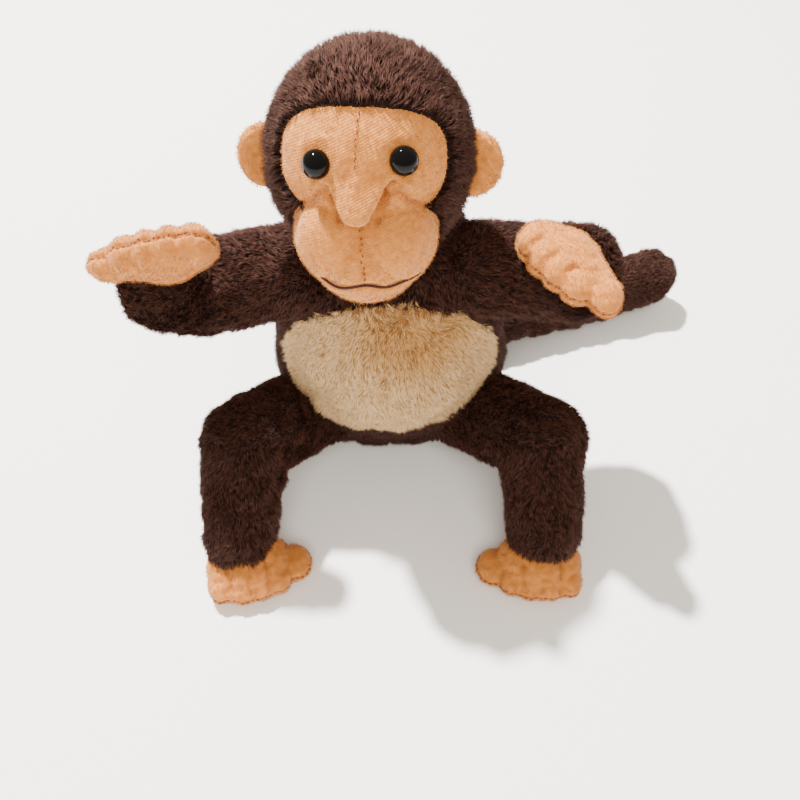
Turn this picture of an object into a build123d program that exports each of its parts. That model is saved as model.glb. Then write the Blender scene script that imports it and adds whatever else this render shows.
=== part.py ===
from build123d import *
import math
import os

# A small seated plush monkey. It faces -Y, +Z is up and the origin is the middle of its flat seat.
# Every soft piece is a closed solid at its stuffed size. Lengths are in millimetres.

FABRIC = 1.0           # thickness of the plush backing
VELOUR = 0.8           # thickness of the tan fabric
JOINT_GAP = 0.5        # space between a limb's ball and the pocket it turns in

# torso: height, half width and half depth of each level
TORSO_LEVELS = [
    (0.0, 19.0, 16.0),
    (3.0, 24.5, 21.0),
    (8.0, 28.0, 24.2),
    (16.0, 29.8, 26.0),
    (28.0, 30.3, 26.5),
    (40.0, 30.0, 26.3),
    (52.0, 27.8, 24.0),
    (62.0, 24.0, 20.3),
    (70.0, 18.0, 15.5),
    (76.0, 11.0, 9.5),
]

# belly patch, seen from the front
BELLY_TOP = 68.0
BELLY_BOTTOM = 19.0
BELLY_TIP_HEIGHT = 46.0
BELLY_HALF_WIDTH = 27.0

# head, in its own frame: -Y is the way the face looks
HEAD_CENTRE = (-3.7, -6.0, 98.0)
HEAD_RADIUS = 22.8
HEAD_TILT = 17.0       # the face looks up by this angle
HEAD_YAW = -4.0
FACE_HALF_WIDTH = 15.5
FACE_TOP = 16.5
FACE_BOTTOM = -14.0
GUSSET_HALF_WIDTH = 12.0

MUZZLE_CENTRE = (0.0, -12.0, -15.3)
MUZZLE_RADIUS = 12.8
CHIN_BELOW = -20.5
MOUTH_THREAD_RADIUS = 0.45
NOSE_CENTRE = (0.0, -21.6, -4.6)
NOSE_RADIUS = 4.4

EYE_SIDE = 9.6
EYE_HEIGHT = 4.0
EYE_RADIUS = 3.1
EYE_STEM_RADIUS = 1.1
EYE_STEM_LENGTH = 7.5
EYE_SUNK = 0.5
WASHER_RADIUS = 4.2
WASHER_THICKNESS = 0.9
HOLE_SLACK = 0.08

EAR_RADII = (6.6, 2.6, 6.9)
EAR_OUT = 23.2
EAR_UP = 1.5
EAR_BACK = 0.5
EAR_SLANT = 12.0

NECK_RING_RADIUS = 6.0
NECK_THREAD_RADIUS = 0.5

# limbs: ball centres with their radii, from the root outwards
ARM_LEFT = [
    ((-24.0, -6.0, 66.0), 10.5),
    ((-49.0, -8.0, 60.5), 10.5),
    ((-52.5, -18.5, 70.5), 8.4),
]
ARM_RIGHT = [
    ((24.0, -6.0, 66.0), 10.5),
    ((46.5, -4.5, 62.5), 10.5),
    ((47.5, -10.5, 72.5), 8.4),
]
LEG_LEFT = [
    ((-21.5, -9.0, 19.0), 10.8),
    ((-36.5, -31.0, 29.0), 10.8),
    ((-37.5, -46.0, 12.0), 8.8),
]
LEG_RIGHT = [
    ((21.5, -9.0, 19.0), 10.8),
    ((38.5, -31.0, 29.0), 10.8),
    ((39.0, -46.0, 12.0), 8.8),
]
TAIL = [
    ((6.0, 25.5, 9.4), 9.3),
    ((40.0, 38.0, 9.2), 8.9),
    ((84.0, 50.5, 10.6), 8.2),
]
TAIL_TIP = [(4.5, 7.4), (8.0, 5.4), (10.0, 2.6)]    # distance past the last ball, and radius
TUBE_STEP = 0.9        # a tube is this much slimmer than the balls it joins
RELIEF_DEPTH = 26.0    # length of the cone of a root's pocket
TAIL_ROOM = 0.4        # the tail's trough is this much wider than its pocket
SLEEVE_END = 0.35      # where a sleeve stops, as a part of its last ball's radius
STUFFING_ROOM = 0.1    # gap between a limb's sleeve and its stuffing
CAP_STEP = 0.6         # the dome in a sleeve's end is this much slimmer than its last ball
TAIL_ROOT_CUT = 5.5    # the tail's sleeve is open from this far behind its root ball's centre

# hands: centre, direction from heel to finger tips, direction across to the thumb
HAND_LEFT = ((-52.5, -22.5, 80.5), (-0.10, -0.36, 0.93), (-0.98, 0.05, -0.13))
HAND_RIGHT = ((40.6, -18.3, 78.8), (-0.76, -0.62, -0.12), (0.60, -0.77, -0.16))
HAND_RADII = (13.2, 10.2, 5.2)
FINGER_RADIUS = 3.9
FINGER_PITCH = 6.1
FINGER_REACH = 6.6
THUMB_RADIUS = 4.6
THUMB_REACH = 12.6

# feet
FOOT_LEFT = (-34.5, -53.5, 4.6)
FOOT_RIGHT = (37.0, -53.5, 4.6)
FOOT_TOE_OUT = 8.0
FOOT_RADII = (14.6, 10.2, 7.4)
TOE_RADIUS = 4.1
TOE_PITCH = 6.6
TOE_REACH = 6.4


def ball(centre, radius):
    return Pos(*centre) * Sphere(radius)


def ellipsoid(radii):
    return scale(Sphere(1.0), by=radii)


def inset(radii, by):
    return tuple(r - by for r in radii)


def frame_at(origin, z_dir, x_dir=(1, 0, 0)):
    """A plane at origin with z_dir exact and x_dir squared up to it."""
    z = Vector(*z_dir).normalized()
    x = Vector(*x_dir)
    x = (x - z * x.dot(z)).normalized()
    return Plane(origin=origin, x_dir=x, z_dir=z)


def tube_between(a, b, radius_a, radius_b):
    """A straight cone from point a to point b."""
    start = Vector(*a)
    along = Vector(*b) - start
    side = (0, 0, 1) if abs(along.normalized().Z) < 0.9 else (1, 0, 0)
    plane = frame_at(a, along, side)
    if abs(radius_a - radius_b) < 1e-6:
        body = Cylinder(radius_a, along.length, align=(Align.CENTER, Align.CENTER, Align.MIN))
    else:
        body = Cone(radius_a, radius_b, along.length, align=(Align.CENTER, Align.CENTER, Align.MIN))
    return plane.location * body


def limb(balls, thinner=0.0):
    """Balls joined by tubes. thinner insets it for the stuffing."""
    shape = None
    for centre, radius in balls:
        piece = ball(centre, radius - thinner)
        shape = piece if shape is None else shape + piece
    for (a, ra), (b, rb) in zip(balls, balls[1:]):
        shape = shape + tube_between(a, b, ra - thinner - TUBE_STEP, rb - thinner - TUBE_STEP)
    return shape


def half_space(origin, normal, size=160.0):
    """A big block on the side of the plane that normal points to."""
    block = Box(size, size, size, align=(Align.CENTER, Align.CENTER, Align.MIN))
    side = (1, 0, 0) if abs(Vector(*normal).normalized().X) < 0.9 else (0, 1, 0)
    return frame_at(origin, normal, side).location * block


def torso_solid(thinner=0.0):
    """A loft through level ovals. The lowest one is the flat seat."""
    sections = []
    last = len(TORSO_LEVELS) - 1
    for i, (height, half_width, half_depth) in enumerate(TORSO_LEVELS):
        if i == 0:
            height += thinner
        if i == last:
            height -= thinner
        sections.append(Pos(0, 0, height) * Ellipse(half_width - thinner, half_depth - thinner))
    return loft(sections)


def belly_prism():
    """The outline of the belly patch, swept through the front of the torso."""
    left = (-BELLY_HALF_WIDTH, BELLY_TIP_HEIGHT)
    right = (BELLY_HALF_WIDTH, BELLY_TIP_HEIGHT)
    upper = ThreePointArc(left, (0, BELLY_TOP), right)
    lower = ThreePointArc(right, (0, BELLY_BOTTOM), left)
    outline = make_face([upper, lower])
    return extrude(Plane.XZ * outline, amount=60)


def root_relief(balls, outward):
    """The pocket that a limb's root turns in: a bowl for its ball that opens into a cone."""
    centre, radius = balls[0]
    along = (Vector(*balls[1][0]) - Vector(*centre)).normalized()
    slant = math.acos(along.dot(Vector(*outward).normalized()))
    r = radius + JOINT_GAP
    low = (r * math.cos(slant), -r * math.sin(slant))
    sweep = math.pi / 2 - slant
    middle = (r * math.sin(sweep / 2), -r * math.cos(sweep / 2))
    high = (low[0] + RELIEF_DEPTH * math.tan(slant), low[1] + RELIEF_DEPTH)
    bowl = ThreePointArc((0, -r), middle, low)
    wall = Line(low, high)
    lid = Line(high, (0, high[1]))
    axis = Line((0, high[1]), (0, -r))
    profile = make_face([bowl, wall, lid, axis])
    pocket = revolve(Plane.XZ * profile, Axis.Z)
    return [frame_at(centre, outward, (0, 0, 1)).location * pocket]


HIP_OUT_LEFT = (-0.88, -0.48, 0.0)
HIP_OUT_RIGHT = (0.88, -0.48, 0.0)


def tail_relief():
    """The pocket of the tail's root, with room for the tube to swing a little towards the body."""
    centre, radius = TAIL[0]
    swing = Pos(*centre) * Rot(0, 0, -6) * Pos(*[-c for c in centre])
    wide = radius + JOINT_GAP + TAIL_ROOM
    tube = tube_between(TAIL[0][0], TAIL[1][0], wide, wide)
    return [ball(centre, radius + JOINT_GAP), swing * tube, tube]


def head_place():
    return Pos(*HEAD_CENTRE) * Rot(0, 0, HEAD_YAW) * Rot(-HEAD_TILT, 0, 0)


def skull_ball(thinner=0.0):
    return Rot(0, 0, -90) * Sphere(HEAD_RADIUS - thinner)


def head_core():
    return skull_ball(FABRIC) + ball(MUZZLE_CENTRE, MUZZLE_RADIUS - VELOUR)


def face_prism():
    """The outline of the face, seen from the front: a wide arch that narrows to the cheeks."""
    low = 0.7 * FACE_HALF_WIDTH
    pts = [
        (-low, FACE_BOTTOM),
        (-FACE_HALF_WIDTH, 2.0),
        (-0.72 * FACE_HALF_WIDTH, FACE_TOP - 2.6),
        (0, FACE_TOP),
        (0.72 * FACE_HALF_WIDTH, FACE_TOP - 2.6),
        (FACE_HALF_WIDTH, 2.0),
        (low, FACE_BOTTOM),
    ]
    outline = make_face([Spline(pts), Line(pts[-1], pts[0])])
    return extrude(Plane.XZ * outline, amount=60)


def eye_frame(side):
    """The eye's frame: z points out of the face."""
    x = side * EYE_SIDE
    z = EYE_HEIGHT
    y = -math.sqrt(HEAD_RADIUS ** 2 - x ** 2 - z ** 2)
    return frame_at((x, y, z), (x, y, z)).location


def eye_solid():
    dome = Pos(0, 0, -EYE_SUNK) * Sphere(EYE_RADIUS)
    dome = dome & Pos(0, 0, -EYE_SUNK) * Box(20, 20, 20, align=(Align.CENTER, Align.CENTER, Align.MIN))
    bottom = (Align.CENTER, Align.CENTER, Align.MAX)
    return dome + Pos(0, 0, -EYE_SUNK) * Cylinder(EYE_STEM_RADIUS, EYE_STEM_LENGTH, align=bottom)


def washer_solid():
    ring = Cylinder(WASHER_RADIUS, WASHER_THICKNESS) - Cylinder(EYE_STEM_RADIUS + HOLE_SLACK, 5)
    return Pos(0, 0, -FABRIC - 0.6 - WASHER_THICKNESS / 2) * ring


def stem_room():
    return Cylinder(EYE_STEM_RADIUS + HOLE_SLACK, 30)


def washer_room():
    bottom = (Align.CENTER, Align.CENTER, Align.MAX)
    cup = Pos(0, 0, 0.5) * Cylinder(WASHER_RADIUS + 0.1, FABRIC + 1.2 + WASHER_THICKNESS, align=bottom)
    return cup


def ear_solid(side):
    flap = Rot(0, side * EAR_SLANT, 0) * ellipsoid(EAR_RADII)
    return Pos(side * EAR_OUT, EAR_BACK, EAR_UP) * Rot(0, 0, side * -14) * flap


def mouth_line():
    """A thread that lies on the muzzle along a level circle, over the front only."""
    cx, cy, cz = MUZZLE_CENTRE
    level = CHIN_BELOW
    radius = math.sqrt(MUZZLE_RADIUS ** 2 - (level - cz) ** 2)
    band = Pos(cx, cy, level) * Torus(radius, MOUTH_THREAD_RADIUS)
    front = Pos(cx, cy - 2.5, level) * Box(22, 40, 4, align=(Align.CENTER, Align.MAX, Align.CENTER))
    return band & front


def hand_frame(spec):
    centre, fingers, across = spec
    x = Vector(*across).normalized()
    y = Vector(*fingers)
    y = (y - x * y.dot(x)).normalized()
    return Plane(origin=centre, x_dir=x, z_dir=x.cross(y)).location


def hand_solid():
    """x runs across to the thumb, y to the finger tips, z out of the palm or the back."""
    shape = ellipsoid(HAND_RADII)
    for i in range(4):
        x = (i - 1.9) * FINGER_PITCH
        reach = FINGER_REACH - 0.35 * abs(i - 1.5) ** 2
        shape = shape + Pos(x, reach, 0) * Sphere(FINGER_RADIUS)
    return shape + Pos(THUMB_REACH, 1.5, 0) * Sphere(THUMB_RADIUS)


def foot_solid():
    """x runs across the foot, -y to the toes. The sole is flat."""
    shape = ellipsoid(FOOT_RADII)
    for i in range(4):
        x = (i - 1.5) * TOE_PITCH
        shape = shape + Pos(x, -TOE_REACH + 0.4 * abs(i - 1.5) ** 2, -0.3) * Sphere(TOE_RADIUS)
    floor = Pos(0, 0, -FOOT_LEFT[2]) * Box(80, 80, 40, align=(Align.CENTER, Align.CENTER, Align.MIN))
    return shape & floor


def end_cut(balls):
    """The plane across a limb's last ball where its sleeve stops, as a point and a direction."""
    tip, radius = balls[-1]
    along = (Vector(*tip) - Vector(*balls[-2][0])).normalized()
    cut = Vector(*tip) + along * (radius * SLEEVE_END)
    return (cut.X, cut.Y, cut.Z), (along.X, along.Y, along.Z)


def end_cap(balls):
    """The dome by which a hand or foot closes the end of its sleeve."""
    tip, radius = balls[-1]
    return ball(tip, radius - CAP_STEP) & half_space(*end_cut(balls))


def sleeve_and_core(balls, end_piece, fabric):
    """A limb's fabric tube and the stuffing in it, both cut off where the hand or foot starts."""
    beyond = half_space(*end_cut(balls))
    outer = limb(balls) - beyond
    room = limb(balls, thinner=fabric) - beyond
    core = limb(balls, thinner=fabric + STUFFING_ROOM) - beyond
    return biggest(outer - room - end_piece), biggest(core - end_piece)


def biggest(shape):
    """The largest solid of a result. Slivers left by a cut are dropped."""
    return max(shape.solids(), key=lambda s: s.volume)


def carve(shape, rooms):
    """Cut each room out of the shape's largest solid, one after another."""
    solid = biggest(shape)
    for room in rooms:
        for piece in room.solids():
            solid = biggest(solid - piece)
    return solid


def save(shape, node):
    solid = biggest(shape)
    export_step(solid, f"parts/{node}.step")
    print(f"{node:22s} volume {solid.volume:9.1f} mm3, valid {solid.is_valid}")


os.makedirs("parts", exist_ok=True)


def build_torso():
    cup = ball(HEAD_CENTRE, HEAD_RADIUS + JOINT_GAP)
    ring = neck_ring(NECK_THREAD_RADIUS + 0.35)
    reliefs = [cup, ring]
    reliefs += root_relief(ARM_LEFT, (-1, 0, 0))
    reliefs += root_relief(ARM_RIGHT, (1, 0, 0))
    reliefs += root_relief(LEG_LEFT, HIP_OUT_LEFT)
    reliefs += root_relief(LEG_RIGHT, HIP_OUT_RIGHT)
    reliefs += tail_relief()
    outer = torso_solid()
    core = torso_solid(FABRIC)
    prism = belly_prism()
    for name, side in (("left", -1), ("right", 1)):
        half = outer & half_space((0, 0, 0), (side, 0, 0))
        save(carve(half, [prism, core] + reliefs), f"torso_{name}")
    save(carve(outer & prism, [core] + reliefs), "belly_patch")
    save(carve(core, reliefs), "torso_stuffing")


def neck_ring(radius):
    """The thread's ring around the head's axis, just outside the head."""
    out = HEAD_RADIUS + JOINT_GAP + NECK_THREAD_RADIUS
    drop = math.sqrt(out ** 2 - NECK_RING_RADIUS ** 2)
    x, y, z = HEAD_CENTRE
    return Pos(x, y, z - drop) * Torus(NECK_RING_RADIUS, radius)


def build_head():
    place = head_place()
    core = head_core()
    skull = skull_ball()
    muzzle_ball = ball(MUZZLE_CENTRE, MUZZLE_RADIUS)
    prism = face_prism()
    above_chin = half_space((0, 0, CHIN_BELOW), (0, 0, 1))
    core_rooms = []
    for name, side in (("left", -1), ("right", 1)):
        at = eye_frame(side)
        eye = at * eye_solid()
        half = half_space((0, 0, 0), (side, 0, 0))
        beyond_gusset = half_space((side * GUSSET_HALF_WIDTH, 0, 0), (side, 0, 0))
        save(place * eye, f"eye_{name}")
        save(place * at * washer_solid(), f"eye_washer_{name}")
        core_rooms += [at * washer_room(), at * stem_core_room()]
        face = carve(skull & prism & half, [muzzle_ball, core, eye, at * stem_room()])
        save(place * face, f"face_{name}")
        save(place * carve(muzzle_ball & half & above_chin, [core]), f"muzzle_{name}")
        save(place * carve(skull & beyond_gusset, [prism, muzzle_ball, core]), f"hood_{name}")
        turn = Pos(side * EAR_OUT, EAR_BACK, EAR_UP) * Rot(0, 0, side * -14)
        ear = carve(ear_solid(side), [skull])
        front = turn * half_space((0, 0, 0), (0, -1, 0))
        save(place * (ear & front), f"ear_front_{name}")
        save(place * (ear - front), f"ear_back_{name}")
    strip = skull & Box(2 * GUSSET_HALF_WIDTH, 200, 200)
    save(place * carve(strip, [prism, muzzle_ball, core]), "crown_gusset")
    save(place * carve(muzzle_ball, [above_chin, core]), "chin")
    nose = ball(NOSE_CENTRE, NOSE_RADIUS)
    save(place * carve(nose, [muzzle_ball, skull]), "nose_fold")
    save(place * carve(mouth_line(), [muzzle_ball]), "mouth_stitch")
    save(place * carve(core, core_rooms), "head_stuffing")
    save(neck_ring(NECK_THREAD_RADIUS), "neck_thread")


def stem_core_room():
    bottom = (Align.CENTER, Align.CENTER, Align.MAX)
    return Cylinder(EYE_STEM_RADIUS + HOLE_SLACK, EYE_STEM_LENGTH + EYE_SUNK + 0.5, align=bottom)


def build_arm(balls, spec, name):
    at = hand_frame(spec)
    hand = at * hand_solid() + end_cap(balls)
    hand_core = at * ellipsoid(inset(HAND_RADII, VELOUR))
    sleeve, stuffing = sleeve_and_core(balls, hand, FABRIC)
    save(sleeve, f"arm_sleeve_{name}")
    save(stuffing, f"arm_stuffing_{name}")
    skin = hand - hand_core
    palm_side = 1 if name == "right" else -1
    palm = at * half_space((0, 0, 0), (0, 0, palm_side))
    save(skin & palm, f"hand_palm_{name}")
    save(skin - palm, f"hand_back_{name}")
    save(hand_core, f"hand_stuffing_{name}")


def build_leg(balls, centre, name):
    turn = FOOT_TOE_OUT if name == "right" else -FOOT_TOE_OUT
    at = Pos(*centre) * Rot(0, 0, turn)
    foot = at * foot_solid() + end_cap(balls)
    above_sole = half_space((0, 0, VELOUR), (0, 0, 1))
    core = at * ellipsoid(inset(FOOT_RADII, VELOUR)) & above_sole
    sleeve, stuffing = sleeve_and_core(balls, foot, FABRIC)
    save(sleeve, f"leg_sleeve_{name}")
    save(stuffing, f"leg_stuffing_{name}")
    skin = foot - core
    below = at * Pos(0, 0, -1.2) * Box(80, 80, 40, align=(Align.CENTER, Align.CENTER, Align.MAX))
    save(skin & below, f"foot_sole_{name}")
    save(skin - below, f"foot_upper_{name}")
    save(core, f"foot_stuffing_{name}")


def tail_solid(thinner=0.0):
    """The root ball, and a loft of round sections that closes in a blunt tip."""
    (root, root_radius), (middle, middle_radius), (last, last_radius) = TAIL
    first = (Vector(*middle) - Vector(*root)).normalized()
    along = (Vector(*last) - Vector(*middle)).normalized()
    up = (0, 0, 1)
    stations = [
        (Vector(*root), first, root_radius - TUBE_STEP),
        (Vector(*middle), (first + along).normalized(), middle_radius),
        (Vector(*last), along, last_radius),
    ]
    for past, radius in TAIL_TIP:
        stations.append((Vector(*last) + along * (past - thinner), along, radius))
    sections = []
    for at, facing, radius in stations:
        plane = frame_at((at.X, at.Y, at.Z), facing, up)
        sections.append(plane * Circle(radius - thinner))
    return ball(root, root_radius - thinner) + loft(sections, ruled=True)


def build_tail():
    root = Vector(*TAIL[0][0])
    along = (Vector(*TAIL[1][0]) - root).normalized()
    cut = root - along * TAIL_ROOT_CUT
    ahead = half_space((cut.X, cut.Y, cut.Z), (along.X, along.Y, along.Z))
    outer = tail_solid() & ahead
    core = tail_solid(FABRIC)
    save(carve(outer, [core]), "tail_sleeve")
    save(core & ahead, "tail_stuffing")


build_torso()
build_head()
build_arm(ARM_LEFT, HAND_LEFT, "left")
build_arm(ARM_RIGHT, HAND_RIGHT, "right")
build_leg(LEG_LEFT, FOOT_LEFT, "left")
build_leg(LEG_RIGHT, FOOT_RIGHT, "right")
build_tail()
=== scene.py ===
import math

import bmesh
import bpy
import numpy as np
from mathutils import Matrix, Vector
from mathutils.bvhtree import BVHTree


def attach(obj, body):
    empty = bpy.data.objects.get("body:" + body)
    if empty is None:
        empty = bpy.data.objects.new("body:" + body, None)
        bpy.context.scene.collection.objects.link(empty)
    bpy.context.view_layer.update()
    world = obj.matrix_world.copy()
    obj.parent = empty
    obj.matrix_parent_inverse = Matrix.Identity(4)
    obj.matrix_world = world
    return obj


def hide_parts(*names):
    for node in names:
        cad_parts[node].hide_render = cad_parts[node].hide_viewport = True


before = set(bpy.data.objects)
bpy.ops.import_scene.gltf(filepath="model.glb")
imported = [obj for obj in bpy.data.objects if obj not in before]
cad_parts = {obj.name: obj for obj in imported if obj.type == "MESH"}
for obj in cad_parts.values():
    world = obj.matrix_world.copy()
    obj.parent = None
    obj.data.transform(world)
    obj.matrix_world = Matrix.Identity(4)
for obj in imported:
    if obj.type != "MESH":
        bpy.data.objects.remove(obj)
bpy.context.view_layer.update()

# A seated plush monkey in the CAD frame: it faces -Y and sits on z = 0. Lengths are in
# millimetres and are turned into metres when a mesh is written. Only the stage is in metres.
MM = 0.001
DENSITY = 1.0
STRANDS_PER_PIECE = 32000
LOWEST_PLUSH = 0.25
LOWEST_TAN = 0.2
PLUSH_FILL = 0.8
MITT_FILL = 0.7
EAR_FILL = 0.5

# ---------------------------------------------------------------- measures
# These places and sizes are listed. They start from the CAD's and were then fitted to the
# photograph through this script's camera, so they are not read from the frame.

# Height, half width and half depth of the torso's ovals.
TORSO_LEVELS = [
    (0.3, 19.0, 16.0),
    (3.0, 24.5, 21.0),
    (8.0, 28.0, 24.2),
    (16.0, 29.6, 25.6),
    (28.0, 30.0, 26.0),
    (40.0, 29.6, 25.8),
    (52.0, 27.4, 23.6),
    (62.0, 24.4, 20.6),
    (70.0, 20.0, 17.0),
    (76.0, 14.0, 12.5),
    (80.0, 9.0, 8.0),
]
BELLY_MIDDLE = 43.0
BELLY_HALF_WIDTH = 26.6
BELLY_UP = 23.5
BELLY_DOWN = 18.8
# Height, and the share of the oval's depth that the front keeps there.
FRONT_LEVELS = [
    (0.0, 0.52),
    (8.0, 0.54),
    (16.0, 0.68),
    (28.0, 0.95),
    (40.0, 1.08),
    (52.0, 1.05),
    (70.0, 1.0),
]

HEAD_CENTRE = Vector((-3.7, -6.0, 98.0))
HEAD_TURN = Matrix.Rotation(math.radians(-4), 3, "Z") @ Matrix.Rotation(math.radians(-17), 3, "X")
SKULL_RADII = (21.0, 22.0, 22.4)
MUZZLE_BALLS = [
    ((-4.4, -12.0, -13.0), (10.4, 12.2, 11.4)),
    ((5.0, -12.0, -13.0), (10.4, 12.2, 11.4)),
    ((0.5, -12.8, -16.2), (12.2, 11.8, 11.4)),
]
EYES = {"left": (-8.9, -20.6, 3.8), "right": (8.7, -20.6, 5.2)}
EYE_RADIUS = 2.9
CROWN_HALF_WIDTH = 12.0
EAR_CENTRE = (22.4, -0.5, -1.0)

# Centre and radius of each limb's balls, from the root outwards. Cones join them.
LIMBS = {
    "arm_left": [((-22.0, -6.0, 66.0), 10.2), ((-47.0, -8.0, 61.0), 10.6), ((-52.5, -17.5, 69.5), 8.6)],
    "arm_right": [((22.0, -6.0, 66.0), 10.2), ((45.5, -5.0, 63.0), 10.6), ((45.0, -10.5, 71.2), 8.2)],
    "leg_left": [((-20.0, -9.0, 18.5), 10.8), ((-37.5, -30.5, 28.0), 10.4), ((-39.2, -48.5, 10.8), 8.3)],
    "leg_right": [((20.0, -9.0, 18.5), 10.8), ((39.5, -30.0, 28.0), 10.4), ((40.3, -46.8, 11.4), 8.3)],
    "tail": [((6.0, 25.5, 9.6), 8.8), ((40.0, 38.0, 9.2), 8.4), ((64.0, 45.0, 9.6), 8.2),
             ((86.0, 51.5, 11.5), 7.8)],
}

# Centre, the way the fingers point and the way across the palm.
HANDS = {
    "left": ((-50.0, -21.0, 82.6), (-0.10, -0.36, 0.93), (-0.97, -0.02, -0.20)),
    "right": ((40.2, -18.6, 77.8), (-0.76, -0.62, -0.12), (0.60, -0.77, -0.16)),
}
# Centre, and the turn about z in degrees.
FEET = {"left": ((-36.0, -53.5, 5.0), 12.0), "right": ((38.2, -53.0, 5.0), -2.0)}
WRIST = -5.0

# Each kind of pile: strands per square millimetre, their length and radius, and how they lie.
TORSO_PILE = dict(per_mm2=8.5, length=2.7, radius=0.105)
LIMB_PILE = dict(per_mm2=9.5, length=2.5, radius=0.105)
HOOD_PILE = dict(per_mm2=11.0, length=3.0, radius=0.10, lean=0.75, ruffle=0.5)
BELLY_PILE = dict(per_mm2=15.0, length=2.7, radius=0.085, lean=1.2, ruffle=0.2, tuft=0.6)
VELOUR_NAP = dict(per_mm2=8.0, length=0.7, radius=0.045, lean=0.8)
KNIT_NAP = dict(per_mm2=4.0, length=0.6, radius=0.05, lean=0.8)
EAR_NAP = dict(per_mm2=5.0, length=0.8, radius=0.06, lean=0.8)


# ---------------------------------------------------------------- materials

def material(name, rough=0.9, sheen=0.0, base=(0.5, 0.5, 0.5), gloss=0.25):
    """A material with its Principled node and plain values."""
    mat = bpy.data.materials.new(name)
    mat.use_nodes = True
    bsdf = mat.node_tree.nodes["Principled BSDF"]
    bsdf.inputs["Base Color"].default_value = (*base, 1.0)
    bsdf.inputs["Roughness"].default_value = rough
    bsdf.inputs["Sheen Weight"].default_value = sheen
    bsdf.inputs["Sheen Roughness"].default_value = 0.5
    bsdf.inputs["Specular IOR Level"].default_value = gloss
    mat.diffuse_color = (*base, 1.0)
    return mat, bsdf


def mottle(mat, bsdf, dark, light, scale, detail):
    """Base colour that wanders between two shades."""
    nodes, links = mat.node_tree.nodes, mat.node_tree.links
    where = nodes.new("ShaderNodeTexCoord")
    noise = nodes.new("ShaderNodeTexNoise")
    noise.inputs["Scale"].default_value = scale
    noise.inputs["Detail"].default_value = detail
    ramp = nodes.new("ShaderNodeValToRGB")
    ramp.color_ramp.elements[0].position = 0.35
    ramp.color_ramp.elements[0].color = (*dark, 1)
    ramp.color_ramp.elements[1].position = 0.65
    ramp.color_ramp.elements[1].color = (*light, 1)
    links.new(where.outputs["Object"], noise.inputs["Vector"])
    links.new(noise.outputs["Fac"], ramp.inputs["Fac"])
    links.new(ramp.outputs["Color"], bsdf.inputs["Base Color"])
    return where


def nap(mat, bsdf, where, rib_scale, rib_share, fuzz_scale, height):
    """Fine ribs of a knit under a random nap, as a bump."""
    nodes, links = mat.node_tree.nodes, mat.node_tree.links
    ribs = nodes.new("ShaderNodeTexWave")
    ribs.wave_type = "BANDS"
    ribs.bands_direction = "Z"
    ribs.inputs["Scale"].default_value = rib_scale
    ribs.inputs["Distortion"].default_value = 0.5
    ribs.inputs["Detail"].default_value = 0.0
    turn = nodes.new("ShaderNodeMapping")
    turn.inputs["Rotation"].default_value = (0.35, 0.45, 0.0)
    fuzz = nodes.new("ShaderNodeTexNoise")
    fuzz.inputs["Scale"].default_value = fuzz_scale
    fuzz.inputs["Detail"].default_value = 3.0
    mix = nodes.new("ShaderNodeMix")
    mix.data_type = "FLOAT"
    mix.inputs[0].default_value = rib_share
    bump = nodes.new("ShaderNodeBump")
    bump.inputs["Strength"].default_value = 0.35
    bump.inputs["Distance"].default_value = height
    links.new(where.outputs["Object"], turn.inputs["Vector"])
    links.new(turn.outputs["Vector"], ribs.inputs["Vector"])
    links.new(where.outputs["Object"], fuzz.inputs["Vector"])
    links.new(fuzz.outputs["Fac"], mix.inputs[2])
    links.new(ribs.outputs["Fac"], mix.inputs[3])
    links.new(mix.outputs[0], bump.inputs["Height"])
    links.new(bump.outputs["Normal"], bsdf.inputs["Normal"])


def fabric(name, rough, sheen, base, dark, light, scale, detail=4.0, ribs=None):
    """A mottled fabric. ribs holds nap's rib scale, rib share, fuzz scale and height."""
    mat, bsdf = material(name, rough, sheen, base)
    where = mottle(mat, bsdf, dark, light, scale, detail)
    if ribs is not None:
        nap(mat, bsdf, where, *ribs)
    return mat, bsdf


def shades(name, rough, colours):
    """Plain materials in pairs: a strand's lower half takes the darker one, as painted shade among the
    strands, and its tip the lighter one, as painted light.
    """
    return [material(f"{name}_{i}", rough, 0.0, colour)[0] for i, colour in enumerate(colours)]


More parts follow.
